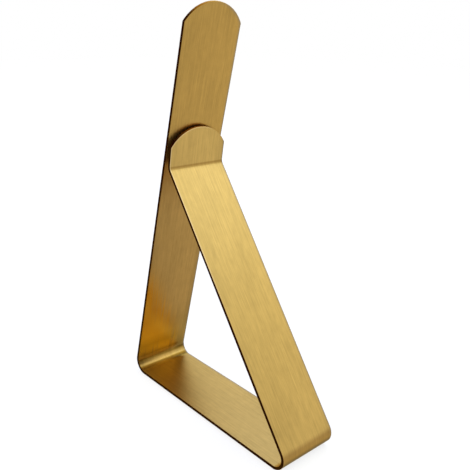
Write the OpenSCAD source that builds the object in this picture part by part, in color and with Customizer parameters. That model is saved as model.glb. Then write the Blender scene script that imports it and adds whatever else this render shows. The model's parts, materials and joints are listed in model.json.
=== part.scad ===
// Table number holder: one strip of spring steel, folded into a triangle that closes on itself.
// The foot lies on the table, the upright leans over it, and the clamp arm rises from the toe
// and pinches the card against the upright with a short lip.
// The strip is modelled stretch by stretch, between the tangent lines of its bends.

/* [Strip] */
// Width of the strip
strip_w = 15; // [10:1:20]
// Thickness of the strip
strip_t = 0.7; // [0.5:0.05:1]
// Chamfer on every sheared edge
edge_break = 0.1; // [0.05:0.05:0.2]
// How far each rounded end stands past its shoulders
tip_rise = 4.2; // [3:0.1:5]

/* [Foot] */
// Length of the foot, from the heel's sharp corner to the toe's
foot_len = 58; // [48:1:62]
// Outside radius of the heel bend
heel_r = 3.2; // [2:0.1:6]
// Outside radius of the toe bend
toe_r = 3.1; // [2:0.1:6]

/* [Upright] */
// Length of the upright, from the heel's sharp corner to its crown
upright_len = 94.6; // [85:0.1:130]
// Angle between the foot and the upright
upright_angle = 76; // [70:1:86]

/* [Clamp] */
// Length of the clamp arm, from the toe's sharp corner to the crease of the lip
arm_len = 70.3; // [62:0.1:80]
// Length of the lip, from the crease to its crown
lip_len = 8.9; // [7:0.1:12]
// Inside radius of the crease
crease_r = 1.4; // [0.3:0.1:2]
// Angle by which the lip leans in towards the upright
lip_lean = 5; // [0:1:10]
// Gap left for the card, between the lip's crown and the upright
card_gap = 0.45; // [0.3:0.05:1]

/* [Hidden] */
$fn = 96;

// How far a stretch is drawn past its crown, before it is trimmed to it
trim_allowance = 1;

// The profile lies in a plane with x forward along the foot and y up, the heel's corner at [0, 0].
// A heading is an angle from x, counted upwards.
function along(heading) = [cos(heading), sin(heading)];

// Radius of the rounded ends, from the chord between the shoulders and the rise above it
tip_r = (pow(strip_w / 2, 2) + pow(tip_rise, 2)) / (2 * tip_rise);

// The clamp arm leans back until the lip's crown stands card_gap off the upright's front face.
lip_heading = upright_angle + lip_lean;
crease_reach = card_gap + strip_t + strip_t * cos(lip_lean) + lip_len * sin(lip_lean);
arm_heading = upright_angle + asin((foot_len * sin(upright_angle) - crease_reach) / arm_len);

// Angle that the strip turns through in each bend
heel_turn = 180 - upright_angle;
toe_turn = arm_heading;
crease_turn = arm_heading - lip_heading;

// Distance from each sharp corner back to the tangent lines of its bend
heel_setback = heel_r * tan(heel_turn / 2);
toe_setback = toe_r * tan(toe_turn / 2);
crease_setback = crease_r * tan(crease_turn / 2);

// Corners of the outside face, and where the stretches leave their bends
toe_corner = [foot_len, 0];
crease = toe_corner + arm_len * along(arm_heading);
foot_start = [heel_setback, 0];
foot_end = toe_corner - [toe_setback, 0];
upright_start = heel_setback * along(upright_angle);
arm_start = toe_corner + toe_setback * along(arm_heading);
arm_end = crease - crease_setback * along(arm_heading);
lip_start = crease + crease_setback * along(lip_heading);

// The origin is on the table, under the middle of the folded strip.
heel_back = foot_start[0] - heel_r;
toe_front = foot_end[0] + toe_r;
footprint_middle = (heel_back + toe_front) / 2;

// Turns the profile's plane into the part's own frame: the clamp faces -Y, the width lies along X.
module in_part_frame() {
    color("#C49A48") rotate([0, 0, -90]) translate([-footprint_middle, 0, 0]) children();
}

// Lays a stretch at a point of the profile, running along a heading. Its +Z side is on the left.
module at(point, heading) {
    translate([point[0], 0, point[1]]) rotate([0, -heading, 0]) children();
}

// Cross-section of the strip with its edges broken: x through the thickness, y across the width
module section() {
    side = strip_w / 2;
    polygon([
        [edge_break, -side],
        [strip_t - edge_break, -side],
        [strip_t, -side + edge_break],
        [strip_t, side - edge_break],
        [strip_t - edge_break, side],
        [edge_break, side],
        [0, side - edge_break],
        [0, -side + edge_break]
    ]);
}

// Flat stretch along +X, with its lower face at z = 0
module flat_stretch(len) {
    translate([0, 0, strip_t]) rotate([0, 90, 0]) linear_extrude(len) section();
}

// Round blank with the same broken edges as the strip, which trims a stretch to its rounded end
module end_blank() {
    rotate_extrude()
        polygon([
            [0, 0],
            [tip_r - edge_break, 0],
            [tip_r, edge_break],
            [tip_r, strip_t - edge_break],
            [tip_r - edge_break, strip_t],
            [0, strip_t]
        ]);
}

// Flat stretch along +X whose far end is rounded, with its crown at x = len
module rounded_stretch(len) {
    square_len = len - tip_r;
    intersection() {
        flat_stretch(len + trim_allowance);
        union() {
            translate([square_len, 0, 0]) end_blank();
            if (square_len > 0)
                translate([0, -strip_w / 2, 0]) cube([square_len, strip_w, strip_t]);
        }
    }
}

// Bend that leaves the origin along +X and curls up, with its convex face on z = 0
module bend(outside_r, turn) {
    translate([0, 0, outside_r])
        rotate([90, 90, 0])
            rotate_extrude(angle = turn)
                translate([outside_r - strip_t, 0]) section();
}

module foot() {
    in_part_frame() at(foot_start, 0) flat_stretch(foot_end[0] - foot_start[0]);
}

module heel_bend() {
    in_part_frame() at(foot_start, 0) mirror([1, 0, 0]) bend(heel_r, heel_turn);
}

module upright() {
    in_part_frame()
        at(upright_start, upright_angle)
            translate([0, 0, -strip_t])
                rounded_stretch(upright_len - heel_setback);
}

module toe_bend() {
    in_part_frame() at(foot_end, 0) bend(toe_r, toe_turn);
}

module clamp_arm() {
    in_part_frame() at(arm_start, arm_heading) flat_stretch(arm_len - toe_setback - crease_setback);
}

// The crease turns the other way from the heel and the toe, so its convex face is the inner one.
module lip_bend() {
    in_part_frame()
        at(arm_end, arm_heading)
            translate([0, 0, strip_t])
                mirror([0, 0, 1])
                    bend(crease_r + strip_t, crease_turn);
}

module card_lip() {
    in_part_frame() at(lip_start, lip_heading) rounded_stretch(lip_len - crease_setback);
}

foot();
heel_bend();
upright();
toe_bend();
clamp_arm();
lip_bend();
card_lip();
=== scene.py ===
"""Table number holder: one strip of gold-coloured spring steel, folded into a sprung triangle."""

import json
import math

import bpy
import numpy as np
from bpy.props import FloatProperty, FloatVectorProperty, PointerProperty
from mathutils import Matrix, Vector


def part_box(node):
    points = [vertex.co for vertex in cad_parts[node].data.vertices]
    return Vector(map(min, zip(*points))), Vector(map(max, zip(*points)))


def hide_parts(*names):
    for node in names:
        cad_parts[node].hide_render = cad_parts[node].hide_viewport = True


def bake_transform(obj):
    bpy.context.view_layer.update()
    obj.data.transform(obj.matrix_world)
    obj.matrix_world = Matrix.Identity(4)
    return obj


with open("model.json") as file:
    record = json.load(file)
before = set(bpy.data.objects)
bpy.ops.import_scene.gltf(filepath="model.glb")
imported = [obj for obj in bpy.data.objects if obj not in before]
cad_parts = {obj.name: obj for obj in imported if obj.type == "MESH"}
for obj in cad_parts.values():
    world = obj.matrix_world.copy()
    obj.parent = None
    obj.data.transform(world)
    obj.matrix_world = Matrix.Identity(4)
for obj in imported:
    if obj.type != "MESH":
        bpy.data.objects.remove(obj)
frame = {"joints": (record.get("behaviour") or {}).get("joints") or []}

bl_info = {
    "name": "Table number holder",
    "version": (1, 0, 0),
    "blender": (4, 5, 0),
    "location": "3D View > Sidebar > Holder",
    "description": "Folds a strip of brushed gold-coloured steel into a sprung holder for a table number",
    "category": "Object",
}

MM = 0.001

# The CAD nodes that each half of the strip stands for, and how far it may stray from their box.
# The two halves share the foot, and meet in the middle of it.
REAR_NODES = ("foot", "heel_bend", "upright")
FRONT_NODES = ("foot", "toe_bend", "clamp_arm", "lip_bend", "card_lip")
BOX_TOLERANCE = 0.1 * MM


# ---------------------------------------------------------------- sizes from the frame

def joint_named(name):
    """The record's joint of that name."""
    return next(j for j in frame["joints"] if j["name"] == name)


foot_low, foot_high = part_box("foot")
STRIP_WIDTH = foot_high.x - foot_low.x
STRIP_THICKNESS = foot_high.z - foot_low.z
HEEL_AXIS = Vector(joint_named("heel_flex")["pos_m"])
TOE_AXIS = Vector(joint_named("toe_flex")["pos_m"])


# ---------------------------------------------------------------- settings

LENGTH = {"subtype": "DISTANCE", "unit": "LENGTH"}
ANGLE = {"subtype": "ANGLE", "unit": "ROTATION"}
COLOUR = {"size": 3, "min": 0, "max": 1, "subtype": "COLOR"}
TINT = COLOUR | {"max": 2}      # a tint may brighten as well


class StripSizes(bpy.types.PropertyGroup):
    """Sizes of the strip and of its folds."""

    width: FloatProperty(
        name="Width",
        description="Width of the strip",
        default=STRIP_WIDTH, **LENGTH)
    thickness: FloatProperty(
        name="Thickness",
        description="Thickness of the strip",
        default=STRIP_THICKNESS, **LENGTH)
    edge_radius: FloatProperty(
        name="Edge rounding",
        description="Radius left by tumbling, where the sheared faces meet the inner side",
        default=0.12 * MM, **LENGTH)
    roll_over: FloatProperty(
        name="Roll-over",
        description="Width of the curve that the shear leaves along the outer side",
        default=0.14 * MM, **LENGTH)
    tip_rise: FloatProperty(
        name="Tip rise",
        description="How far each rounded end stands past its shoulders",
        default=4.2 * MM, **LENGTH)
    foot_length: FloatProperty(
        name="Foot length",
        description="Length of the foot between the sharp corners of its bends",
        default=58 * MM, **LENGTH)
    heel_radius: FloatProperty(
        name="Heel radius",
        description="Outside radius of the heel bend",
        default=HEEL_AXIS.z, **LENGTH)
    toe_radius: FloatProperty(
        name="Toe radius",
        description="Outside radius of the toe bend",
        default=TOE_AXIS.z, **LENGTH)
    upright_length: FloatProperty(
        name="Upright length",
        description="Length of the upright, from the heel's sharp corner to its crown",
        default=94.6 * MM, **LENGTH)
    upright_angle: FloatProperty(
        name="Upright angle",
        description="Angle between the foot and the upright",
        default=math.radians(76), **ANGLE)
    arm_length: FloatProperty(
        name="Arm length",
        description="Length of the clamp arm, from the toe's sharp corner to the crease",
        default=70.3 * MM, **LENGTH)
    lip_length: FloatProperty(
        name="Lip length",
        description="Length of the lip, from the crease to its crown",
        default=8.9 * MM, **LENGTH)
    crease_radius: FloatProperty(
        name="Crease radius",
        description="Inside radius of the crease under the lip",
        default=1.4 * MM, **LENGTH)
    lip_lean: FloatProperty(
        name="Lip lean",
        description="Angle by which the lip leans in towards the upright",
        default=math.radians(5), **ANGLE)
    card_gap: FloatProperty(
        name="Card gap",
        description="Gap left for the card under the lip's crown",
        default=0.45 * MM, **LENGTH)


class SteelFinish(bpy.types.PropertyGroup):
    """Colours and brushing of the steel, and the light and shade painted on it."""

    outer_gold: FloatVectorProperty(
        name="Outer gold",
        description="Colour of the side that faces out of the triangle",
        default=(0.50, 0.325, 0.093), **COLOUR)
    inner_gold: FloatVectorProperty(
        name="Inner gold",
        description="Colour of the side that faces into the triangle",
        default=(0.421, 0.253, 0.062), **COLOUR)
    streak_gain: FloatProperty(
        name="Streak contrast",
        description="How much paler the palest streaks are than the darkest",
        default=0.50, min=0, max=1)
    # Partly the cut steel's own dark, and partly a painted dark reflection of the surroundings to the left.
    sheared: FloatVectorProperty(
        name="Sheared edge",
        description="Colour of the sheared faces along the edges",
        default=(0.020, 0.0015, 0.0), **COLOUR)
    # Painted highlight: a pale line of light along the clamp's left edge.
    toned: FloatVectorProperty(
        name="Highlighted edge",
        description="Colour of the polished line along the left edge of the clamp",
        default=(0.66, 0.48, 0.22), **COLOUR)
    # A greyish line along the right edges.
    edge_grey_width: FloatProperty(
        name="Tarnish width",
        description="How far the greyish line along the right edges reaches onto the face",
        default=0.8 * MM, **LENGTH)
    edge_grey: FloatVectorProperty(
        name="Greyed",
        description="Colour of the greyish line along the right edges",
        default=(0.25, 0.19, 0.11), **COLOUR)
    edge_grey_share: FloatProperty(
        name="Tarnish share",
        description="How much of the line's colour is tarnish",
        default=0.7, min=0, max=1)
    # Painted reflection: a warm patch near the heel, where the upright and the foot mirror each other.
    amber: FloatVectorProperty(
        name="Amber",
        description="Colour of the warmer patch of plating near the heel",
        default=(0.64, 0.366, 0.038), **COLOUR)
    bronze: FloatVectorProperty(
        name="Bronze",
        description="Colour that the amber patch turns to as it climbs the upright",
        default=(0.47, 0.19, 0.007), **COLOUR)
    # Painted shade: the upright is darker where the clamp arm and the foot close it in.
    triangle_shade: FloatVectorProperty(
        name="Enclosed tint",
        description="What the plating keeps of its colour where the folded strip shields itself",
        default=(0.87, 0.86, 1.0), **TINT)
    # Painted reflection: casts of the reflected colour round the heel's line of light.
    olive: FloatVectorProperty(
        name="Olive tint",
        description="Cast of the plating above and behind the line of light in the heel",
        default=(0.99, 1.045, 1.10), **TINT)
    brown: FloatVectorProperty(
        name="Brown tint",
        description="Cast of the plating on both sides of the line of light in the heel",
        default=(1.0, 0.96, 0.60), **TINT)
    # Painted shade: the plating darkened where the bends near the table would mirror its shade.
    floor_shade: FloatVectorProperty(
        name="Underside tint",
        description="What the plating keeps of its colour where the bends brush the table",
        default=(0.70, 0.64, 0.60), **TINT)
    # Painted light: the plating is painted brighter towards its right edge.
    slant: FloatProperty(
        name="Slant",
        description="How much brighter the plating is along the right edge than along the left one",
        default=0.12, min=0, max=1)
    # Painted shade: dark grey where the bends meet the table.
    contact_shade: FloatVectorProperty(
        name="Darkest steel",
        description="Colour of the steel where the table has rubbed the plating off",
        default=(0.09, 0.067, 0.043), **COLOUR)
    # A darker line along the crease.
    crease_colour: FloatVectorProperty(
        name="Crease colour",
        description="Colour of the line that the die leaves in the crease",
        default=(0.20, 0.09, 0.01), **COLOUR)
    crease_share: FloatProperty(
        name="Crease share",
        description="How much of the crease's colour is the die's line",
        default=0.46, min=0, max=1)
    # Painted light: the sheared faces of the crowns face up to the light, so they are painted a paler brown.
    shear_lit: FloatVectorProperty(
        name="Topmost edge",
        description="Colour that the sheared faces turn to, towards the middle of each crown",
        default=(0.33, 0.135, 0.012), **COLOUR)
    roughness: FloatProperty(
        name="Roughness",
        description="Roughness of the brushed faces",
        default=0.34, min=0, max=1)
    anisotropy: FloatProperty(
        name="Anisotropy",
        description="How much more the brushed faces scatter light across the grain than along it",
        default=0.75, min=0, max=1)
    brush_line: FloatProperty(
        name="Brush line",
        description="Width of the finest lines left by the brush",
        default=0.16 * MM, **LENGTH)
    brush_depth: FloatProperty(
        name="Brush depth",
        description="Depth of the lines left by the brush",
        default=0.0012 * MM, **LENGTH)


class StudioSettings(bpy.types.PropertyGroup):
    """Floor and camera."""

    floor_size: FloatProperty(
        name="Floor size",
        description="Side of the square floor",
        default=3.0, **LENGTH)
    azimuth: FloatProperty(
        name="Camera azimuth",
        description="Camera's angle round the holder, from the front",
        default=math.radians(-41.726), **ANGLE)
    elevation: FloatProperty(
        name="Camera elevation",
        description="Camera's angle above the table",
        default=math.radians(18.425), **ANGLE)
    roll: FloatProperty(
        name="Camera roll",
        description="Camera's tilt about its own line of sight",
        default=math.radians(1.225), **ANGLE)
    distance: FloatProperty(
        name="Camera distance",
        description="Distance from the camera to the point that it looks at",
        default=134.25 * MM, **LENGTH)
    aim: FloatVectorProperty(
        name="Camera aim",
        description="Point that the camera looks at",
        default=(0, -2.50 * MM, 43.86 * MM), size=3, subtype="TRANSLATION", unit="LENGTH")
    lens: FloatProperty(
        name="Lens",
        description="Focal length in millimetres, on a sensor 36 mm wide",
        default=47.280)


# ---------------------------------------------------------------- fold lines

# The fold is drawn in a plane with x forward along the foot and y up, the heel's sharp corner at zero.

def step_along(angle):
    """Unit step at an angle from the foot, counted upwards."""
    return np.array([math.cos(angle), math.sin(angle)])


def left_of(step):
    """Unit step to the left of another."""
    return np.array([-step[1], step[0]])


def moved_corner(corner, before, after, left):
    """Where a corner comes to when the two lines that meet in it move to their left."""
    a, b = left_of(before), left_of(after)
    return corner + left * (a + b) / (1 + a.dot(b))


class FoldLine:
    """Middle line of half the strip, from the middle of the foot to its tip, with a radius at each corner."""

    def __init__(self, corners, radii, middle):
        self.corners = corners
        self.radii = radii
        self.middle = middle
        self.bends, self.length = self.measure()

    def measure(self):
        """Where each bend starts and ends along the folded line, and the length of the whole line."""
        bends = []
        travelled = 0.0
        left_over = 0.0
        for index in range(1, len(self.corners)):
            leg = self.corners[index] - self.corners[index - 1]
            reach = np.linalg.norm(leg)
            if index == len(self.corners) - 1:
                return bends, travelled + reach - left_over
            onward = self.corners[index + 1] - self.corners[index]
            turn = math.acos(leg.dot(onward) / reach / np.linalg.norm(onward))
            radius = self.radii[index - 1]
            setback = radius * math.tan(turn / 2)
            start = travelled + reach - left_over - setback
            travelled = start + radius * turn
            left_over = setback
            bends.append((start, travelled, turn))

    def in_frame(self, point):
        """A point of the plane, in the holder's own frame."""
        return Vector((0, self.middle - point[0], point[1]))


def fold_lines(sizes):
    """The rear and the front fold line."""
    toe = np.array([sizes.foot_length, 0.0])
    thick = sizes.thickness
    lean = sizes.lip_lean
    upright_way = step_along(sizes.upright_angle)
    reach = sizes.card_gap + thick * (1 + math.cos(lean)) + sizes.lip_length * math.sin(lean)
    rise = sizes.foot_length * math.sin(sizes.upright_angle) - reach
    arm_heading = sizes.upright_angle + math.asin(rise / sizes.arm_length)
    lip_heading = sizes.upright_angle + lean
    arm_way, lip_way = step_along(arm_heading), step_along(lip_heading)
    forward = step_along(0)
    crease = toe + sizes.arm_length * arm_way

    heel_turn = math.pi - sizes.upright_angle
    heel_back = sizes.heel_radius * (math.tan(heel_turn / 2) - 1)
    toe_front = sizes.foot_length - sizes.toe_radius * (math.tan(arm_heading / 2) - 1)
    middle = (heel_back + toe_front) / 2

    half = thick / 2
    split = np.array([sizes.foot_length / 2, half])
    rear = FoldLine(
        [
            split,
            moved_corner(np.zeros(2), -forward, upright_way, -half),
            sizes.upright_length * upright_way - half * left_of(upright_way),
        ],
        [sizes.heel_radius - half],
        middle,
    )
    front = FoldLine(
        [
            split,
            moved_corner(toe, forward, arm_way, half),
            moved_corner(crease, arm_way, lip_way, half),
            crease + sizes.lip_length * lip_way + half * left_of(lip_way),
        ],
        [sizes.toe_radius - half, sizes.crease_radius + half],
        middle,
    )
    return rear, front


# ---------------------------------------------------------------- marks of the finish, and of painted light and shade

# Each mark is a value at every point of the blank, which the steel's material reads.
MARKS = (
    "sheared",      # how far round the edge, from the brushed face at 0 to the sheared one at 1
    "border",       # distance from the strip's outline
    "crown_lit",        # right side of the crowns, where the edge loses its dark and its grey line: painted light
    "shear_lit",       # the crowns but for their left ends, where the sheared face is painted a lit brown
    "creased",      # a darker line along the crease
    "highlit",     # upper part of the clamp arm, whose left edge has a painted highlight
    "triangle_shade",     # painted shade on the stretch of the upright that faces the clamp arm
    "amber",        # the painted reflection near the heel, a warm patch
    "bronze",       # where that patch is deeper in colour
    "painted_heel_shade",      # painted shade round the line of light in the heel; below zero, painted highlight
    "olive",        # painted olive cast of the reflection round that line
    "brown",        # painted brown cast of the reflection round that line
    "arm_edge_dark",       # how much darker the right edge of the clamp arm is beside the crease
    "floor_shade",      # painted shade on the foot, and on as much of its bends as lies near the table
    "contact_shade",       # the foot, and as much of its bends as meets the table: dark grey painted shade
    "slant",        # place across the strip, painted brighter on its right
)

CROWN_FADE = 0.6 * MM          # distance past its shoulders over which a crown's own marks set in
FLOOR_SHADE_TURN = (0.83, 0.985)   # shares of the first bend's turn between which that painted shade fades out
CONTACT_SHADE_TURN = (0.52, 0.73)     # and between which its dark grey painted shade does
HIGHLIT_ARM = (0.44, 0.66)    # shares of the clamp arm between which the painted highlight sets in
ARM_EDGE_DARK_SPAN = (0.27, 0.43)     # shares of the strip's width between which the darker edge sets in
ARM_EDGE_DARK_SHARE = 0.13            # how much darker that edge is
BRONZE_SPOT = 0.3              # how much deeper the bronze is in a spot on its left

# From here, places are in mm: past the first bend, and to the right of the strip's middle.
ARM_EDGE_DARK_REACH = 4.0             # how far before the crease the darker edge starts
CREASE_LINE = (-1.1, 0.25, 0.65)   # start, darkest place and end of the darker line, from the crease's middle
SLANT_START = (-1.0, 3.0)      # where the painted slant of light sets in
AMBER_LEAN = 0.53              # how far left the edge of the amber painted reflection moves for each mm past the heel
BRONZE_LEAN = 0.8              # and how far left the edge of the bronze does
DIAGONAL_SLOPE = 0.75          # how far right the foot's diagonal of light moves for each mm nearer the heel
DIAGONAL_END = 4.5             # where that diagonal would cross the far end of the heel bend

# Bands of painted shade, highlight and cast round the line of light in the heel: the strength of each, where
# it lies across the strip, and where it rises and falls along it. The shades make the plating darker, or
# brighter below zero.
HEEL_SHADES = (
    (0.20, "beside amber", (2.5, 5.5), (8.0, 15.0)),
    (0.20, "right edge", (2.0, 6.0), (30.0, 50.0)),
    (0.42, "everywhere", (0.2, 1.4), (2.2, 4.6)),
    (0.10, "not right", (0.5, 1.2), (1.6, 2.6)),
    (-0.10, "right of middle", (-1.0, -0.5), (1.5, 3.0)),
    (0.45, "right end", (-1.9, -1.1), (0.4, 1.8)),
    (0.34, "not left", (-2.1, -1.7), (-1.4, -0.8)),
    (0.40, "left", (-2.8, -2.2), (-1.4, -0.9)),
    (0.25, "left edge", (-3.5, -3.2), (-1.2, -0.8)),
    (-0.12, "middle", (-3.3, -2.9), (-2.4, -2.0)),
    (0.50, "everywhere", (-4.0, -3.7), (-3.4, -3.1)),
    (0.40, "left", (-4.8, -4.2), (-4.0, -3.7)),
    (0.50, "right", (-4.9, -4.1), (-4.0, -3.7)),
    (-0.18, "diagonal", (-15.0, -7.5), (-4.8, -4.2)),
    (-0.10, "not right", (-18.0, -9.0), (-5.4, -4.4)),
    (-0.10, "left", (-9.0, -6.5), (-6.4, -5.6)),
    (0.12, "left side", (-24.0, -16.0), (-5.2, -4.4)),
    (0.15, "left edge", (-7.5, -5.5), (-4.2, -3.8)),
)
OLIVE_BANDS = (
    (1.0, "everywhere", (-1.2, -0.6), (5.0, 9.0)),
    (1.0, "right half", (-3.6, -3.2), (-2.4, -2.0)),
    (1.0, "left of diagonal", (-13.0, -7.0), (-4.2, -3.6)),
)
BROWN_BANDS = (
    (1.0, "everywhere", (-2.1, -1.7), (-1.3, -0.9)),
    (1.0, "everywhere", (-3.9, -3.6), (-3.5, -3.1)),
    (1.0, "right of centre", (-5.2, -4.6), (-3.9, -3.6)),
)


def eased(value, start, end):
    """0 before the start, 1 after the end, and a smooth rise between."""
    share = np.clip((value - start) / (end - start), 0, 1)
    return share * share * (3 - 2 * share)


def between(value, rise, fall):
    """1 on a stretch, with a smooth rise before it and a smooth fall after it."""
    return eased(value, *rise) - eased(value, *fall)


def places_across(past, right):
    """How much each point belongs to each of the places that the bands name."""
    beside_amber = right + AMBER_LEAN * past
    off_diagonal = right - DIAGONAL_SLOPE * past - DIAGONAL_END
    left = 1 - eased(right, -5.5, 0.0)
    return {
        "everywhere": 1.0,
        "left edge": 1 - eased(right, -6.8, -5.0),
        "left": left,
        "left side": 1 - eased(right, -5.5, -2.0),
        "not left": 1 - left,
        "middle": between(right, (-3.5, 0.0), (5.0, 7.0)),
        "right of middle": between(right, (0.0, 1.2), (3.2, 4.6)),
        "right half": eased(right, 1.0, 5.0),
        "right of centre": eased(right, 1.0, 4.5),
        "right": eased(right, 2.0, 4.5),
        "not right": 1 - eased(right, 2.0, 5.0),
        "right end": eased(right, 3.5, 6.0),
        "right edge": eased(right, 5.5, 7.2),
        "beside amber": eased(beside_amber, 3.0, 7.0),
        "diagonal": between(off_diagonal, (-2.2, 1.8), (2.6, 6.0)),
        "left of diagonal": 1 - eased(off_diagonal, 1.5, 5.0),
    }


def banded(bands, across, past):
    """The strength of all the bands together, at each point."""
    return sum(strength * across[where] * between(past, rise, fall) for strength, where, rise, fall in bands)


def rear_marks(past, right, crown, width):
    """Marks that only the rear half has."""
    across = places_across(past, right)
    spot = BRONZE_SPOT * (1 - eased(right, -5.0, -1.0)) * between(past, (9.0, 12.0), (14.0, 18.0))
    return {
        "triangle_shade": between(past, (2.0, 14.0), (52.0, 62.0)),
        "amber": eased(past, -1.5, 2.0) * (1 - eased(right + AMBER_LEAN * past, 0.2, 11.5)),
        "bronze": eased(right + BRONZE_LEAN * past, 3.5, 9.5) + spot,
        "painted_heel_shade": banded(HEEL_SHADES, across, past),
        "olive": banded(OLIVE_BANDS, across, past),
        "brown": banded(BROWN_BANDS, across, past),
        "shear_lit": eased(right, -0.45 * width, -0.25 * width) * crown,
        "crown_lit": eased(right, -0.28 * width, 0.02 * width) * crown,
    }


def front_marks(past, right, crown, width, arm, crease):
    """Marks that only the front half has. The arm's end and the crease are places past the toe bend."""
    start, darkest, end = (crease + place for place in CREASE_LINE)
    arm_edge = eased(right, *(share * width for share in ARM_EDGE_DARK_SPAN))
    return {
        "creased": between(past, (start, darkest), (darkest, end)),
        "highlit": eased(past, *(share * arm for share in HIGHLIT_ARM)),
        "arm_edge_dark": ARM_EDGE_DARK_SHARE * arm_edge * eased(past, arm - ARM_EDGE_DARK_REACH, arm),
        "shear_lit": eased(right, -0.45 * width, -0.15 * width) * crown,
        "crown_lit": eased(right, 0.0, 0.2 * width) * crown,
    }


def finish_marks(line, width, shoulder, along, right):
    """Each point's marks, from its place along the blank and to the right of its middle."""
    start, end, _ = line.bends[0]
    past = (along - end) / MM
    turned = (along - start) / (end - start)
    crown = eased(along, shoulder, shoulder + CROWN_FADE)
    marks = dict.fromkeys(MARKS, np.zeros(len(along)))
    marks["floor_shade"] = 1 - eased(turned, *FLOOR_SHADE_TURN)
    marks["contact_shade"] = 1 - eased(turned, *CONTACT_SHADE_TURN)
    marks["slant"] = eased(past, *SLANT_START) * right / width
    if len(line.bends) == 1:
        marks.update(rear_marks(past, right / MM, crown, width / MM))
    else:
        crease_start, crease_end, _ = line.bends[1]
        arm = (crease_start - end) / MM
        crease = ((crease_start + crease_end) / 2 - end) / MM
        marks.update(front_marks(past, right / MM, crown, width / MM, arm, crease))
    return marks


# ---------------------------------------------------------------- flat blank

ROW_STEP = 3.0 * MM                # between the rows of points on a flat
BEND_STEP = math.radians(2.5)      # turned between the rows of points in a bend
FEWEST_STEPS = 6                   # in a bend
HOLD = 0.3 * MM                    # from each end of a bend to the next row on the flat
TIP_REACH = 5.0 * MM               # before the shoulders, where the rows start to follow the crown
TIP_ROWS = (0.3, 0.55, 0.75, 0.88, 0.95, 1.0)      # shares of the way from there to the crown
PLACE_DIGITS = 9                   # decimals of a metre by which two rows are told apart
EDGE_STEPS = 4                     # faces round each of the strip's edges
INNER_CHART = 3                    # how many widths beside the outer side the inner one lies, when unrolled

# Places across the strip, as shares of half its width: closer together at the edges, where a crown is steep
HALF_ACROSS = (0.16, 0.32, 0.48, 0.63, 0.76, 0.87, 0.96, 1.0)
ACROSS = np.array([-share for share in reversed(HALF_ACROSS)] + [0.0, *HALF_ACROSS])


def rows_along(line, last):
    """Places along the blank that get a row of points: close together in the bends, up to the last one."""
    rows = [0.0]

    def flat_rows(start, end):
        count = max(1, math.ceil((end - start - 2 * HOLD) / ROW_STEP))
        rows.extend(np.linspace(start + HOLD, end - HOLD, count + 1))

    place = -HOLD
    for start, end, turn in line.bends:
        flat_rows(place, start)
        rows.extend(np.linspace(start, end, max(FEWEST_STEPS, math.ceil(turn / BEND_STEP)) + 1))
        place = end
    flat_rows(place, last + HOLD)
    return sorted(set(round(row, PLACE_DIGITS) for row in rows if row <= last + 10 ** -PLACE_DIGITS))


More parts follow.
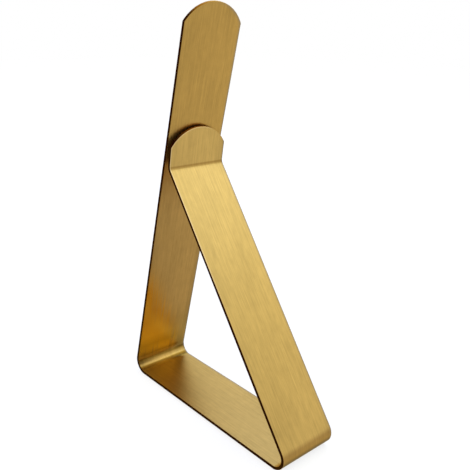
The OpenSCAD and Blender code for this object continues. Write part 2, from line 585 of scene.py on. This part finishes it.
class FlatBlank:
    """Half the strip before it is folded: x across, y along and z through it, from the cut to the crown."""

    def __init__(self, sizes, line, to_right):
        self.sizes = sizes
        self.line = line
        self.to_right = to_right
        self.half_width = sizes.width / 2
        self.tip_radius = (self.half_width ** 2 + sizes.tip_rise ** 2) / (2 * sizes.tip_rise)
        self.tip_centre = line.length - self.tip_radius
        self.shoulder = line.length - sizes.tip_rise
        self.tip_start = max(self.shoulder - TIP_REACH, line.bends[-1][1] + HOLD)
        self.straight_rows = rows_along(line, self.tip_start)
        self.row_count = len(self.straight_rows) + len(TIP_ROWS)
        self.points = []
        self.charts = []          # place of each point on the unrolled strip
        self.marks = {mark: [] for mark in MARKS}
        self.faces = []
        self.inwards = []         # whether each face is on the inner side

    def laid_out(self, inset):
        """Grid of places whose outline is that much smaller all round, except at the cut."""
        x = ACROSS * (self.half_width - inset)
        end = self.tip_centre + np.sqrt((self.tip_radius - inset) ** 2 - x ** 2)
        rows = [np.full(len(ACROSS), y) for y in self.straight_rows]
        rows += [self.tip_start + share * (end - self.tip_start) for share in TIP_ROWS]
        y = np.array(rows)
        return np.stack([np.broadcast_to(x, y.shape), y], -1)

    def rim(self):
        """Rows and columns of the grid's outline: up one side, over the crown and down the other side."""
        last_row, last_column = self.row_count - 1, len(ACROSS) - 1
        rim = [(row, 0) for row in range(last_row)]
        rim += [(last_row, column) for column in range(last_column + 1)]
        rim += [(row, last_column) for row in range(last_row - 1, -1, -1)]
        return tuple(np.array(part) for part in zip(*rim))

    def edge_profile(self):
        """Steps over the edge, from the outer side to the inner: how far in, how high and how far round."""
        half, radius = self.sizes.thickness / 2, self.sizes.edge_radius
        angles = [math.pi / 2 * (1 - number / EDGE_STEPS) for number in range(EDGE_STEPS + 1)]

        def quarter(width):
            insets = [width * (1 - math.cos(angle)) for angle in angles]
            heights = [half - radius * (1 - math.sin(angle)) for angle in angles]
            return list(zip(insets, heights, (1 - angle / (math.pi / 2) for angle in angles)))

        inner = [(inset, -height, share) for inset, height, share in reversed(quarter(radius))]
        return quarter(self.sizes.roll_over) + [(0.0, 0.0, 1.0)] + inner

    def to_border(self, across, along):
        """Distance from each place to the strip's outline."""
        side = self.half_width - np.abs(across)
        tip = self.tip_radius - np.hypot(across, along - self.tip_centre)
        return np.where(along > self.tip_centre, np.minimum(side, tip), side)

    def add_points(self, places, height, share, chart):
        """Adds a point at each place, with its marks, and gives their numbers."""
        first = len(self.points)
        self.points.extend((x, y, height) for x, y in places)
        self.charts.extend(chart)
        across, along = places.T
        marks = finish_marks(self.line, self.sizes.width, self.shoulder, along, self.to_right * across)
        marks["sheared"] = np.full(len(places), share)
        marks["border"] = self.to_border(across, along)
        for mark, values in marks.items():
            self.marks[mark].extend(values)
        return np.arange(first, len(self.points))

    def add_face(self, corners, inwards):
        """Adds a face between points, on the inner side or elsewhere."""
        self.faces.append(tuple(int(corner) for corner in corners))
        self.inwards.append(inwards)

    def add_side(self, places, height):
        """Adds the points of one side, and gives their numbers row by row."""
        flat = places.reshape(-1, 2)
        return self.add_points(flat, height, 0.0, flat).reshape(places.shape[:2])

    def add_edge(self, outer_side, inner_side, rim):
        """Adds a ring of points for each step over the edge between the sides, and gives their numbers."""
        outward = (self.laid_out(0) - inner_side)[rim]
        outward /= np.linalg.norm(outward, axis=1)[:, None]
        profile = self.edge_profile()
        rings = []
        rolled = 0.0
        for before, (inset, height, share) in zip(profile, profile[1:-1]):
            rolled += math.hypot(inset - before[0], height - before[1])
            out = rolled if height >= 0 else self.sizes.thickness - rolled
            border = (outer_side if height >= 0 else inner_side)[rim]
            rings.append(self.add_points(self.laid_out(inset)[rim], height, share, border + out * outward))
        return rings

    def build(self):
        """Adds the two sides of the strip, the edge between them, and the cut."""
        half, rim = self.sizes.thickness / 2, self.rim()
        outer_side, inner_side = self.laid_out(self.sizes.roll_over), self.laid_out(self.sizes.edge_radius)
        top, bottom = self.add_side(outer_side, half), self.add_side(inner_side, -half)
        edge = self.add_edge(outer_side, inner_side, rim)
        for i in range(self.row_count - 1):
            for j in range(len(ACROSS) - 1):
                self.add_face((top[i, j], top[i, j + 1], top[i + 1, j + 1], top[i + 1, j]), False)
                self.add_face((bottom[i, j], bottom[i + 1, j], bottom[i + 1, j + 1], bottom[i, j + 1]), True)
        rings = [top[rim], *edge, bottom[rim]]
        for number, (ring, below) in enumerate(zip(rings, rings[1:])):
            for k in range(len(ring) - 1):
                self.add_face((ring[k], ring[k + 1], below[k + 1], below[k]), number > EDGE_STEPS)
        left, right = [ring[0] for ring in edge], [ring[-1] for ring in reversed(edge)]
        self.add_face((*bottom[0], *right, *reversed(top[0]), *left), False)

    def as_object(self, name):
        """The blank as an object, with its marks, the chart of its grain, and sharp edges round the cut."""
        self.build()
        mesh = bpy.data.meshes.new(name)
        mesh.from_pydata(self.points, [], self.faces)
        mesh.shade_smooth()
        cut = self.faces[-1]
        cut_edges = {tuple(sorted(ends)) for ends in zip(cut, cut[1:] + cut[:1])}
        sharp = mesh.attributes.new("sharp_edge", "BOOLEAN", "EDGE")
        for edge in mesh.edges:
            sharp.data[edge.index].value = tuple(sorted(edge.vertices)) in cut_edges
        for mark, values in self.marks.items():
            attribute = mesh.attributes.new(mark, "FLOAT", "POINT")
            attribute.data.foreach_set("value", np.array(values, np.float32))
        grain = mesh.uv_layers.new(name="grain")
        inner_shift = np.array([INNER_CHART * self.sizes.width, 0.0])
        for polygon, inwards in zip(mesh.polygons, self.inwards):
            for loop in polygon.loop_indices:
                place = self.charts[mesh.loops[loop].vertex_index]
                grain.data[loop].uv = place + inner_shift if inwards else place
        blank = bpy.data.objects.new(name, mesh)
        bpy.context.scene.collection.objects.link(blank)
        return blank


# ---------------------------------------------------------------- node helpers

def feed(tree, socket, value):
    """Gives an input its value, or links it to another node's output."""
    if isinstance(value, bpy.types.NodeSocket):
        tree.links.new(value, socket)
    else:
        socket.default_value = value


def add_node(tree, kind, settings=(), **inputs):
    """A new node. Its inputs go by name, with _ for a space, or by number, as i0, i1 and so on."""
    node = tree.nodes.new(kind)
    for key, value in dict(settings).items():
        setattr(node, key, value)
    for key, value in inputs.items():
        numbered = key[0] == "i" and key[1:].isdigit()
        feed(tree, node.inputs[int(key[1:]) if numbered else key.replace("_", " ")], value)
    return node


def maths(tree, operation, *values, kind="ShaderNodeMath"):
    """The output of a Math node."""
    inputs = {f"i{number}": value for number, value in enumerate(values)}
    return add_node(tree, kind, {"operation": operation}, **inputs).outputs[0]


def vector_maths(tree, operation, *values):
    """The output of a Vector Math node."""
    return maths(tree, operation, *values, kind="ShaderNodeVectorMath")


def scaled(tree, vector, length):
    """A vector times a length."""
    settings = {"operation": "SCALE"}
    return add_node(tree, "ShaderNodeVectorMath", settings, Vector=vector, Scale=length).outputs[0]


def product(tree, first, *others):
    """All the values multiplied together."""
    for other in others:
        first = maths(tree, "MULTIPLY", first, other)
    return first


def weighted(tree, start, *parts):
    """The sum of a start and of each value times its weight."""
    for value, weight in parts:
        start = maths(tree, "ADD", start, maths(tree, "MULTIPLY", value, weight))
    return start


def one_less(tree, value):
    """1 less a value."""
    return maths(tree, "SUBTRACT", 1.0, value)


def ranged(tree, value, low, high, to_low=0.0, to_high=1.0, smooth=True):
    """A value's place between two limits, moved to two other limits."""
    kind = "SMOOTHSTEP" if smooth else "LINEAR"
    return add_node(tree, "ShaderNodeMapRange", {"interpolation_type": kind},
                    i0=value, i1=low, i2=high, i3=to_low, i4=to_high).outputs[0]


def mix_colour(tree, factor, first, second, blend="MIX"):
    """The output of a colour Mix node."""
    first, second = (
        colour if isinstance(colour, bpy.types.NodeSocket) else (*colour, 1) for colour in (first, second)
    )
    return add_node(tree, "ShaderNodeMix", {"data_type": "RGBA", "blend_type": blend},
                    i0=factor, i6=first, i7=second).outputs[2]


def brightened(tree, colour, level):
    """A colour times a level."""
    grey = add_node(tree, "ShaderNodeCombineColor", Red=level, Green=level, Blue=level).outputs[0]
    return mix_colour(tree, 1.0, colour, grey, blend="MULTIPLY")


def tinted(tree, colour, share, tint):
    """A colour with that share of a tint."""
    cast = mix_colour(tree, share, (1, 1, 1), tint)
    return mix_colour(tree, 1.0, colour, cast, blend="MULTIPLY")


# ---------------------------------------------------------------- folding

FOLD_POINTS = 120       # round each bend of the line that the strip is laid along


def folding_tree():
    """Node tree that lays a flat blank along a fold line, with a round bend at each of the line's corners."""
    tree = bpy.data.node_groups.new("Fold strip", "GeometryNodeTree")
    for name, kind in (
        ("Blank", "Geometry"), ("Fold line", "Object"), ("Bend radius", "Float"),
        ("Crease radius", "Float"), ("Width axis", "Vector"), ("Finish", "Material"),
    ):
        tree.interface.new_socket(name, in_out="INPUT", socket_type="NodeSocket" + kind)
    tree.interface.new_socket("Strip", in_out="OUTPUT", socket_type="NodeSocketGeometry")
    given = add_node(tree, "NodeGroupInput").outputs

    # Point 1 of the line is the corner at the heel or the toe, and point 2 of the front one is the crease.
    line = add_node(tree, "GeometryNodeObjectInfo", Object=given["Fold line"])
    number = add_node(tree, "GeometryNodeInputIndex")
    at_crease = add_node(tree, "FunctionNodeCompare", {"data_type": "INT", "operation": "GREATER_EQUAL"},
                         i2=number.outputs[0], i3=2)
    radius = add_node(tree, "GeometryNodeSwitch", {"input_type": "FLOAT"}, Switch=at_crease.outputs[0],
                      **{"False": given["Bend radius"], "True": given["Crease radius"]})
    bent = add_node(tree, "GeometryNodeFilletCurve", {"mode": "POLY"}, Curve=line.outputs["Geometry"],
                    Count=FOLD_POINTS, Radius=radius.outputs[0], Limit_Radius=False)

    place = add_node(tree, "GeometryNodeInputPosition")
    parts = add_node(tree, "ShaderNodeSeparateXYZ", Vector=place.outputs[0])
    on_line = add_node(tree, "GeometryNodeSampleCurve", {"mode": "LENGTH"},
                       Curves=bent.outputs["Curve"], Length=parts.outputs["Y"])
    sideways = scaled(tree, given["Width axis"], parts.outputs["X"])
    outside = vector_maths(tree, "CROSS_PRODUCT", given["Width axis"], on_line.outputs["Tangent"])
    through = scaled(tree, vector_maths(tree, "NORMALIZE", outside), parts.outputs["Z"])
    beside_line = vector_maths(tree, "ADD", on_line.outputs["Position"], sideways)
    folded_place = vector_maths(tree, "ADD", beside_line, through)
    folded = add_node(tree, "GeometryNodeSetPosition", Geometry=given["Blank"], Position=folded_place)
    real = add_node(tree, "GeometryNodeRealizeInstances", Geometry=folded.outputs[0])
    dressed = add_node(tree, "GeometryNodeSetMaterial", Geometry=real.outputs[0], Material=given["Finish"])
    add_node(tree, "NodeGroupOutput", Strip=dressed.outputs[0])
    return tree


def guide_curve(name, line):
    """The fold line's corners as a curve."""
    curve = bpy.data.curves.new(name, "CURVE")
    curve.dimensions = "3D"
    spline = curve.splines.new("POLY")
    spline.points.add(len(line.corners) - 1)
    for point, corner in zip(spline.points, line.corners):
        point.co = (*line.in_frame(corner), 1)
    guide = bpy.data.objects.new(name, curve)
    bpy.context.scene.collection.objects.link(guide)
    return guide


def check_box(name, mesh, line, at_front, nodes):
    """Raises an error if a half strays from the box of its CAD nodes, of which the foot ends at the split."""
    points = np.array([vertex.co for vertex in mesh.vertices])
    cad_low = np.min([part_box(node)[0] for node in nodes], 0)
    cad_high = np.max([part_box(node)[1] for node in nodes], 0)
    split_y = line.middle - line.corners[0][0]
    own_boxes = [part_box(node) for node in nodes if node != "foot"]
    if at_front:
        cad_high[1] = max(split_y, *(high.y for _, high in own_boxes))
    else:
        cad_low[1] = min(split_y, *(low.y for low, _ in own_boxes))
    stray = max(np.abs(points.min(0) - cad_low).max(), np.abs(points.max(0) - cad_high).max())
    if stray > BOX_TOLERANCE:
        raise RuntimeError(f"{name} strays {stray / MM:.2f} mm from the box of its CAD nodes")


def folded_half(name, line, width_axis, finish, nodes):
    """One half of the strip, folded along its line, as a plain mesh."""
    to_right = width_axis[0]
    strip = FlatBlank(bpy.context.scene.holder_strip, line, to_right).as_object(name)
    guide = guide_curve(name + "_line", line)
    tree = folding_tree()
    socket = {item.name: item.identifier for item in tree.interface.items_tree if item.in_out == "INPUT"}
    fold = strip.modifiers.new("Fold", "NODES")
    fold.node_group = tree
    fold[socket["Fold line"]] = guide
    fold[socket["Bend radius"]] = line.radii[0]
    fold[socket["Crease radius"]] = line.radii[-1]
    fold[socket["Width axis"]] = width_axis
    fold[socket["Finish"]] = finish
    graph = bpy.context.evaluated_depsgraph_get()
    mesh = bpy.data.meshes.new_from_object(strip.evaluated_get(graph))
    mesh.name = name
    strip.modifiers.remove(fold)
    strip.data = mesh
    bpy.data.objects.remove(guide)
    check_box(name, mesh, line, to_right > 0, nodes)
    return strip


# ---------------------------------------------------------------- steel

TONE_RANGE = (0.3, 0.7)        # where nearly all of the brush's tone lies, between 0 and 1
RIGHT_SIDE = (-0.1, 0.35)      # shares of the width, from the middle, between which the right side sets in
AMBER_STREAKS = (2.6, -0.25)   # gain and offset of the streaks that break up the edge of the amber patch
HIGHLIT_ROUND = 0.15          # share of the way round the edge at which the painted highlight is whole
HIGHLIT_SHARE = 0.6           # how strong that line is on the face
HIGHLIT_FADE = (0.1 * MM, 0.35 * MM)      # distances from the edge between which it fades there
DARK_START = (0.02, 0.35)      # share of the way round at which the dark starts: plain, and under the painted highlight
DARK_RISE = 0.2                # share of the way round over which it sets in
CROWN_LIT_SHARE = 0.1              # how much of the dark a crown keeps where its edge is painted as lit
FINE_ROUGHNESS = 0.06          # how much the finest lines, the clouds and the dark vary the roughness
CLOUD_ROUGHNESS = 0.04
DARK_ROUGHNESS = 0.2
GLANCING_TINT = (1.0, 0.8, 0.5, 1)         # of light that glances off the steel


def stretched_noise(tree, chart, across, along, detail=2.0, seed=0.0):
    """Noise in streaks of that width and length, from 0 to 1, on the unrolled strip."""
    fitted = add_node(tree, "ShaderNodeMapping", Vector=chart,
                      Location=(seed, 2 * seed, 0), Scale=(1 / across, 1 / along, 1))
    return add_node(tree, "ShaderNodeTexNoise", {"noise_dimensions": "3D", "normalize": True},
                    Vector=fitted.outputs[0], Scale=1.0, Detail=detail).outputs["Fac"]


class SteelValues:
    """What the layers of the steel's colour share: the marks, the two sides and the lines of the brush."""

    def __init__(self, tree):
        self.tree = tree
        self.finish = bpy.context.scene.holder_finish
        self.mark = {
            name: add_node(tree, "ShaderNodeAttribute", {"attribute_name": name}).outputs["Fac"]
            for name in MARKS
        }
        width = bpy.context.scene.holder_strip.width
        chart = add_node(tree, "ShaderNodeUVMap", {"uv_map": "grain"}).outputs[0]
        chart_x = add_node(tree, "ShaderNodeSeparateXYZ", Vector=chart).outputs["X"]
        self.inner = maths(tree, "GREATER_THAN", chart_x, INNER_CHART / 2 * width)
        self.outer = one_less(tree, self.inner)
        place = add_node(tree, "ShaderNodeTexCoord").outputs["Object"]
        x = add_node(tree, "ShaderNodeSeparateXYZ", Vector=place).outputs["X"]
        self.to_right = ranged(tree, x, *(share * width for share in RIGHT_SIDE))
        line = self.finish.brush_line
        self.fine = stretched_noise(tree, chart, line, 40 * line, detail=3.0)
        self.streak = stretched_noise(tree, chart, 2.2 * line, 90 * line, seed=3.7)
        self.mottle = stretched_noise(tree, chart, 0.9 * MM, 2.2 * MM, detail=3.0, seed=5.3)
        self.cloud = stretched_noise(tree, chart, 5 * MM, 14 * MM, seed=8.1)

    def on_inner(self, mark, *others):
        """A mark on the inner side only, times any other values."""
        return product(self.tree, self.mark[mark], self.inner, *others)

    def on_outer(self, mark, *others):
        """A mark on the outer side only, times any other values."""
        return product(self.tree, self.mark[mark], self.outer, *others)


def plated(steel):
    """The gold of each side, in the tones of the brush."""
    tree, finish = steel.tree, steel.finish
    tone = weighted(
        tree, 0.0, (steel.fine, 0.3), (steel.streak, 0.3), (steel.mottle, 0.2), (steel.cloud, 0.2),
    )
    half_gain = finish.streak_gain / 2
    gain = ranged(tree, tone, *TONE_RANGE, 1 - half_gain, 1 + half_gain, smooth=False)
    return brightened(tree, mix_colour(tree, steel.inner, finish.outer_gold, finish.inner_gold), gain)


def warmed(steel, colour):
    """Adds the painted shade inside the triangle, and the painted reflection near the heel that is amber and
    bronze.
    """
    tree, finish = steel.tree, steel.finish
    ragged = steel.on_inner("amber", maths(tree, "MULTIPLY_ADD", steel.streak, *AMBER_STREAKS))
    warm = ranged(tree, ragged, 0.0, 1.0)
    # Painted shade on the upright inside the triangle.
    colour = tinted(tree, colour, steel.on_inner("triangle_shade", one_less(tree, warm)), finish.triangle_shade)
    # Painted reflection near the heel, amber turning to bronze.
    patch = mix_colour(tree, steel.mark["bronze"], finish.amber, finish.bronze)
    return mix_colour(tree, warm, colour, patch)


def shaded(steel, colour):
    """Adds the painted slant of light from left to right, the darker arm edge, and the painted shades and
    casts in the heel.
    """
    tree, finish = steel.tree, steel.finish
    # Painted light: brighter towards the right of the strip.
    lit = maths(tree, "MULTIPLY_ADD", steel.mark["slant"], finish.slant, 1.0)
    # Painted shade round the heel's line of light, with painted highlight where it is below zero.
    darker = maths(tree, "ADD", steel.on_inner("painted_heel_shade"), steel.on_outer("arm_edge_dark"))
    colour = brightened(tree, colour, product(tree, lit, one_less(tree, darker)))
    # Painted casts of the reflected colour round the heel's line of light.
    colour = tinted(tree, colour, steel.on_inner("olive"), finish.olive)
    return tinted(tree, colour, steel.on_inner("brown"), finish.brown)


def toned(steel, colour):
    """Adds painted shade on the outer side of the bends near the table, a greyish line along the right edges,
    and a darker line along the crease.
    """
    tree, finish = steel.tree, steel.finish
    # Painted shade on the bends near the table.
    colour = tinted(tree, colour, steel.on_outer("floor_shade"), finish.floor_shade)
    # Painted shade: dark grey where the bends meet the table.
    colour = mix_colour(tree, steel.on_outer("contact_shade"), colour, finish.contact_shade)
    # A greyish line along the right edges of the outer side, left off the crowns' painted lit side.
    beside_edge = ranged(tree, steel.mark["border"], 0.0, finish.edge_grey_width, finish.edge_grey_share, 0.0)
    edge_greyed = product(tree, beside_edge, steel.to_right, one_less(tree, steel.on_outer("crown_lit")))
    colour = mix_colour(tree, edge_greyed, colour, finish.edge_grey)
    return mix_colour(tree, steel.on_outer("creased", finish.crease_share), colour, finish.crease_colour)


def edged(steel, colour):
    """Adds the painted highlight along the clamp's left edge, and the dark sheared faces. Gives the dark too.
    """
    tree, finish, mark = steel.tree, steel.finish, steel.mark
    # Painted highlight: a pale line along the left edge of the clamp arm.
    bright = steel.on_outer("highlit", one_less(tree, steel.to_right))
    on_face = ranged(tree, mark["border"], *HIGHLIT_FADE, HIGHLIT_SHARE, 0.0)
    on_edge = ranged(tree, mark["sheared"], 0.0, HIGHLIT_ROUND)
    line = product(tree, maths(tree, "MAXIMUM", on_edge, on_face), bright)
    colour = mix_colour(tree, line, colour, finish.toned)
    # The sheared faces are dark: partly their own cut steel, partly a painted dark reflection.
    dark_from = ranged(tree, bright, 0.0, 1.0, *DARK_START, smooth=False)
    dark = ranged(tree, mark["sheared"], dark_from, maths(tree, "ADD", dark_from, DARK_RISE))
    # Painted light: on the right of each crown the sheared face loses its dark.
    dark = product(tree, dark, ranged(tree, mark["crown_lit"], 0.0, 1.0, 1.0, CROWN_LIT_SHARE, smooth=False))
    # Painted light: a paler brown on the sheared faces of the crowns.
    sheared = mix_colour(tree, mark["shear_lit"], finish.sheared, finish.shear_lit)
    return mix_colour(tree, dark, colour, sheared), dark


def brushed_steel():
    """Plated spring steel, brushed along its length, with dark sheared faces and painted light and shade."""
    material = bpy.data.materials.new("brushed_gold_steel")
    material.use_nodes = True
    tree = material.node_tree
    steel = SteelValues(tree)
    finish = steel.finish
    colour, dark = edged(steel, toned(steel, shaded(steel, warmed(steel, plated(steel)))))
    rough = weighted(
        tree, finish.roughness - (FINE_ROUGHNESS + CLOUD_ROUGHNESS) / 2,
        (steel.fine, FINE_ROUGHNESS), (steel.cloud, CLOUD_ROUGHNESS), (dark, DARK_ROUGHNESS),
    )
    bump = add_node(tree, "ShaderNodeBump", Height=steel.fine, Strength=1.0, Distance=finish.brush_depth)
    grain = add_node(tree, "ShaderNodeTangent", {"direction_type": "UV_MAP", "uv_map": "grain"})
    shader = tree.nodes["Principled BSDF"]
    for name, value in (
        ("Base Color", colour), ("Metallic", 1.0), ("Roughness", rough), ("Specular Tint", GLANCING_TINT),
        ("Anisotropic", finish.anisotropy), ("Normal", bump.outputs[0]), ("Tangent", grain.outputs[0]),
    ):
        feed(tree, shader.inputs[name], value)
    return material


def strip_steel():
    """The strip's material, made once."""
    return bpy.data.materials.get("brushed_gold_steel") or brushed_steel()


# ---------------------------------------------------------------- studio

def seen_share(tree):
    """1 for a ray from the camera, off gloss or through glass, and 0 for light."""
    path = add_node(tree, "ShaderNodeLightPath").outputs
    either = maths(tree, "MAXIMUM", path["Is Camera Ray"], path["Is Glossy Ray"])
    return maths(tree, "MAXIMUM", either, path["Is Transmission Ray"])


COOL = (0.80, 1.0, 1.04)      # tint of the soft lamps in front

# Each lamp: its name, its middle's azimuth from +X and elevation in degrees and its distance from the holder,
# its width and height, how bright its front is, and its tint
LAMPS = (
    ("key_top", -42, 64, 0.60, (0.50, 0.18), 1.5, (1.0, 0.95, 0.5)),
    ("key_upper", -40, 47, 0.60, (0.50, 0.22), 0.62, (0.72, 1.0, 1.75)),
    ("key_lower", -43, 40, 0.62, (0.60, 0.34), 0.20, COOL),
    ("front_fill", -46, 28, 0.64, (0.70, 0.42), 0.15, COOL),
    ("rear_lamp", 46, 40, 0.60, (0.60, 0.40), 0.93, (0.50, 0.85, 2.1)),
    ("left_lamp", 209, 35, 0.60, (0.40, 0.40), 1.2, (1, 1, 1)),
)
LAMP_AIM = Vector((0, 0, 45 * MM))      # the middle of the holder
POWER_PER_AREA = 4          # of a lamp's front, at which it is as bright as a strength of 1

LIT_SHARE = 0.24            # share of the floor's white that comes from the lamps, and so takes the shadow
FLOOR_DROP = 0.05 * MM      # keeps the floor clear of the foot's lower face
WORLD_LIGHT = 1.0

SENSOR_WIDTH = 36           # mm
NEAREST = 10 * MM           # from the camera, to what it shows


def floor_material():
    """White paper: part of its white is its own, so that it stays white, and the rest takes the shadow."""
    material = bpy.data.materials.new("studio_paper")
    material.use_nodes = True
    tree = material.node_tree
    tree.nodes.remove(tree.nodes["Principled BSDF"])
    matt = add_node(tree, "ShaderNodeBsdfDiffuse", Color=(LIT_SHARE, LIT_SHARE, LIT_SHARE, 1))
    own = add_node(tree, "ShaderNodeEmission",
                   Strength=maths(tree, "MULTIPLY", seen_share(tree), 1 - LIT_SHARE))
    both = add_node(tree, "ShaderNodeAddShader", i0=matt.outputs[0], i1=own.outputs[0])
    tree.links.new(both.outputs[0], tree.nodes["Material Output"].inputs["Surface"])
    return material


def softbox(name, azimuth, elevation, distance, size, level, tint):
    """A rectangular lamp that looks at the middle of the holder."""
    lamp = bpy.data.lights.new(name, "AREA")
    lamp.shape = "RECTANGLE"
    lamp.size, lamp.size_y = size
    lamp.energy = POWER_PER_AREA * size[0] * size[1] * level
    lamp.color = tint
    box = bpy.data.objects.new(name, lamp)
    turn, lift = math.radians(azimuth), math.radians(elevation)
    way = Vector((math.cos(turn) * math.cos(lift), math.sin(turn) * math.cos(lift), math.sin(lift)))
    box.location = LAMP_AIM + distance * way
    box.rotation_euler = way.to_track_quat("Z", "Y").to_euler()
    bpy.context.scene.collection.objects.link(box)


def studio_camera(settings):
    """The camera at the holder's front left, a little above it."""
    turn, lift, tilt = settings.azimuth, settings.elevation, settings.roll
    back = Vector((
        math.sin(turn) * math.cos(lift),
        -math.cos(turn) * math.cos(lift),
        math.sin(lift),
    ))
    right = (-back).cross(Vector((0, 0, 1))).normalized()
    up = right.cross(-back)
    x_axis = math.cos(tilt) * right + math.sin(tilt) * up
    y_axis = -math.sin(tilt) * right + math.cos(tilt) * up
    camera_data = bpy.data.cameras.new("studio_camera")
    camera_data.sensor_width = SENSOR_WIDTH
    camera_data.lens = settings.lens
    camera_data.clip_start = NEAREST
    camera = bpy.data.objects.new("studio_camera", camera_data)
    place = Matrix((x_axis, y_axis, back)).transposed().to_4x4()
    place.translation = Vector(settings.aim) + settings.distance * back
    camera.matrix_world = place
    bpy.context.scene.collection.objects.link(camera)
    bpy.context.scene.camera = camera


# ---------------------------------------------------------------- operators

class HOLDER_OT_rear_half(bpy.types.Operator):
    """Fold the rear half of the strip: the back of the foot, the heel bend and the upright"""

    bl_idname = "holder.rear_half"
    bl_label = "Rear half"

    def execute(self, context):
        sizes = context.scene.holder_strip
        rear, _ = fold_lines(sizes)
        strip = folded_half("rear_half", rear, (-1, 0, 0), strip_steel(), REAR_NODES)
        setback = sizes.heel_radius * math.tan((math.pi - sizes.upright_angle) / 2)
        bend_end = rear.in_frame(setback * step_along(sizes.upright_angle))
        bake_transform(strip)
        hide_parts(*REAR_NODES)
        return {"FINISHED"}


class HOLDER_OT_front_half(bpy.types.Operator):
    """Fold the front half of the strip: the front of the foot, the toe bend, the clamp arm and the lip"""

    bl_idname = "holder.front_half"
    bl_label = "Front half"

    def execute(self, context):
        sizes = context.scene.holder_strip
        _, front = fold_lines(sizes)
        strip = folded_half("front_half", front, (1, 0, 0), strip_steel(), FRONT_NODES)
        arm = front.corners[2] - front.corners[1]
        arm_heading = math.atan2(arm[1], arm[0])
        setback = sizes.toe_radius * math.tan(arm_heading / 2)
        toe = np.array([sizes.foot_length, 0.0])
        bend_end = front.in_frame(toe + setback * step_along(arm_heading))
        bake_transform(strip)
        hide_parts(*FRONT_NODES)
        return {"FINISHED"}


class HOLDER_OT_studio(bpy.types.Operator):
    """Set up the floor, the lamps, the white surroundings and the camera"""

    bl_idname = "holder.studio"
    bl_label = "Studio"

    def execute(self, context):
        scene = context.scene
        settings = scene.holder_studio
        half = settings.floor_size / 2
        paper = bpy.data.meshes.new("floor")
        paper.from_pydata(
            [(-half, -half, 0), (half, -half, 0), (half, half, 0), (-half, half, 0)], [], [(0, 1, 2, 3)]
        )
        paper.materials.append(floor_material())
        floor = bpy.data.objects.new("floor", paper)
        floor.location.z = -FLOOR_DROP
        scene.collection.objects.link(floor)

        world = bpy.data.worlds.new("studio")
        scene.world = world
        world.use_nodes = True
        background = world.node_tree.nodes["Background"]
        background.inputs["Strength"].default_value = WORLD_LIGHT
        background.inputs["Color"].default_value = (1, 1, 1, 1)

        for lamp in LAMPS:
            softbox(*lamp)
        studio_camera(settings)
        scene.view_settings.view_transform = "Standard"
        return {"FINISHED"}


class HOLDER_PT_panel(bpy.types.Panel):
    """Sizes and finish of the holder, and the steps that make it"""

    bl_label = "Table number holder"
    bl_idname = "HOLDER_PT_panel"
    bl_space_type = "VIEW_3D"
    bl_region_type = "UI"
    bl_category = "Holder"

    def draw(self, context):
        layout = self.layout
        scene = context.scene
        for label, group in (
            ("Strip", scene.holder_strip), ("Finish", scene.holder_finish), ("Studio", scene.holder_studio),
        ):
            box = layout.box()
            box.label(text=label)
            for name in group.bl_rna.properties.keys():
                if name not in ("rna_type", "name"):
                    box.prop(group, name)
        for step in STEPS:
            layout.operator(step.bl_idname)


STEPS = (HOLDER_OT_rear_half, HOLDER_OT_front_half, HOLDER_OT_studio)
CLASSES = (StripSizes, SteelFinish, StudioSettings, *STEPS, HOLDER_PT_panel)


def register():
    """Adds the classes and their settings to Blender."""
    for cls in CLASSES:
        bpy.utils.register_class(cls)
    bpy.types.Scene.holder_strip = PointerProperty(type=StripSizes)
    bpy.types.Scene.holder_finish = PointerProperty(type=SteelFinish)
    bpy.types.Scene.holder_studio = PointerProperty(type=StudioSettings)


def unregister():
    """Takes the settings and the classes out again."""
    del bpy.types.Scene.holder_studio
    del bpy.types.Scene.holder_finish
    del bpy.types.Scene.holder_strip
    for cls in reversed(CLASSES):
        bpy.utils.unregister_class(cls)


def main():
    """Makes the holder and its studio."""
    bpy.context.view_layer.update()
    register()
    bpy.ops.holder.rear_half()
    bpy.ops.holder.front_half()
    bpy.ops.holder.studio()


if __name__ == "__main__":
    main()
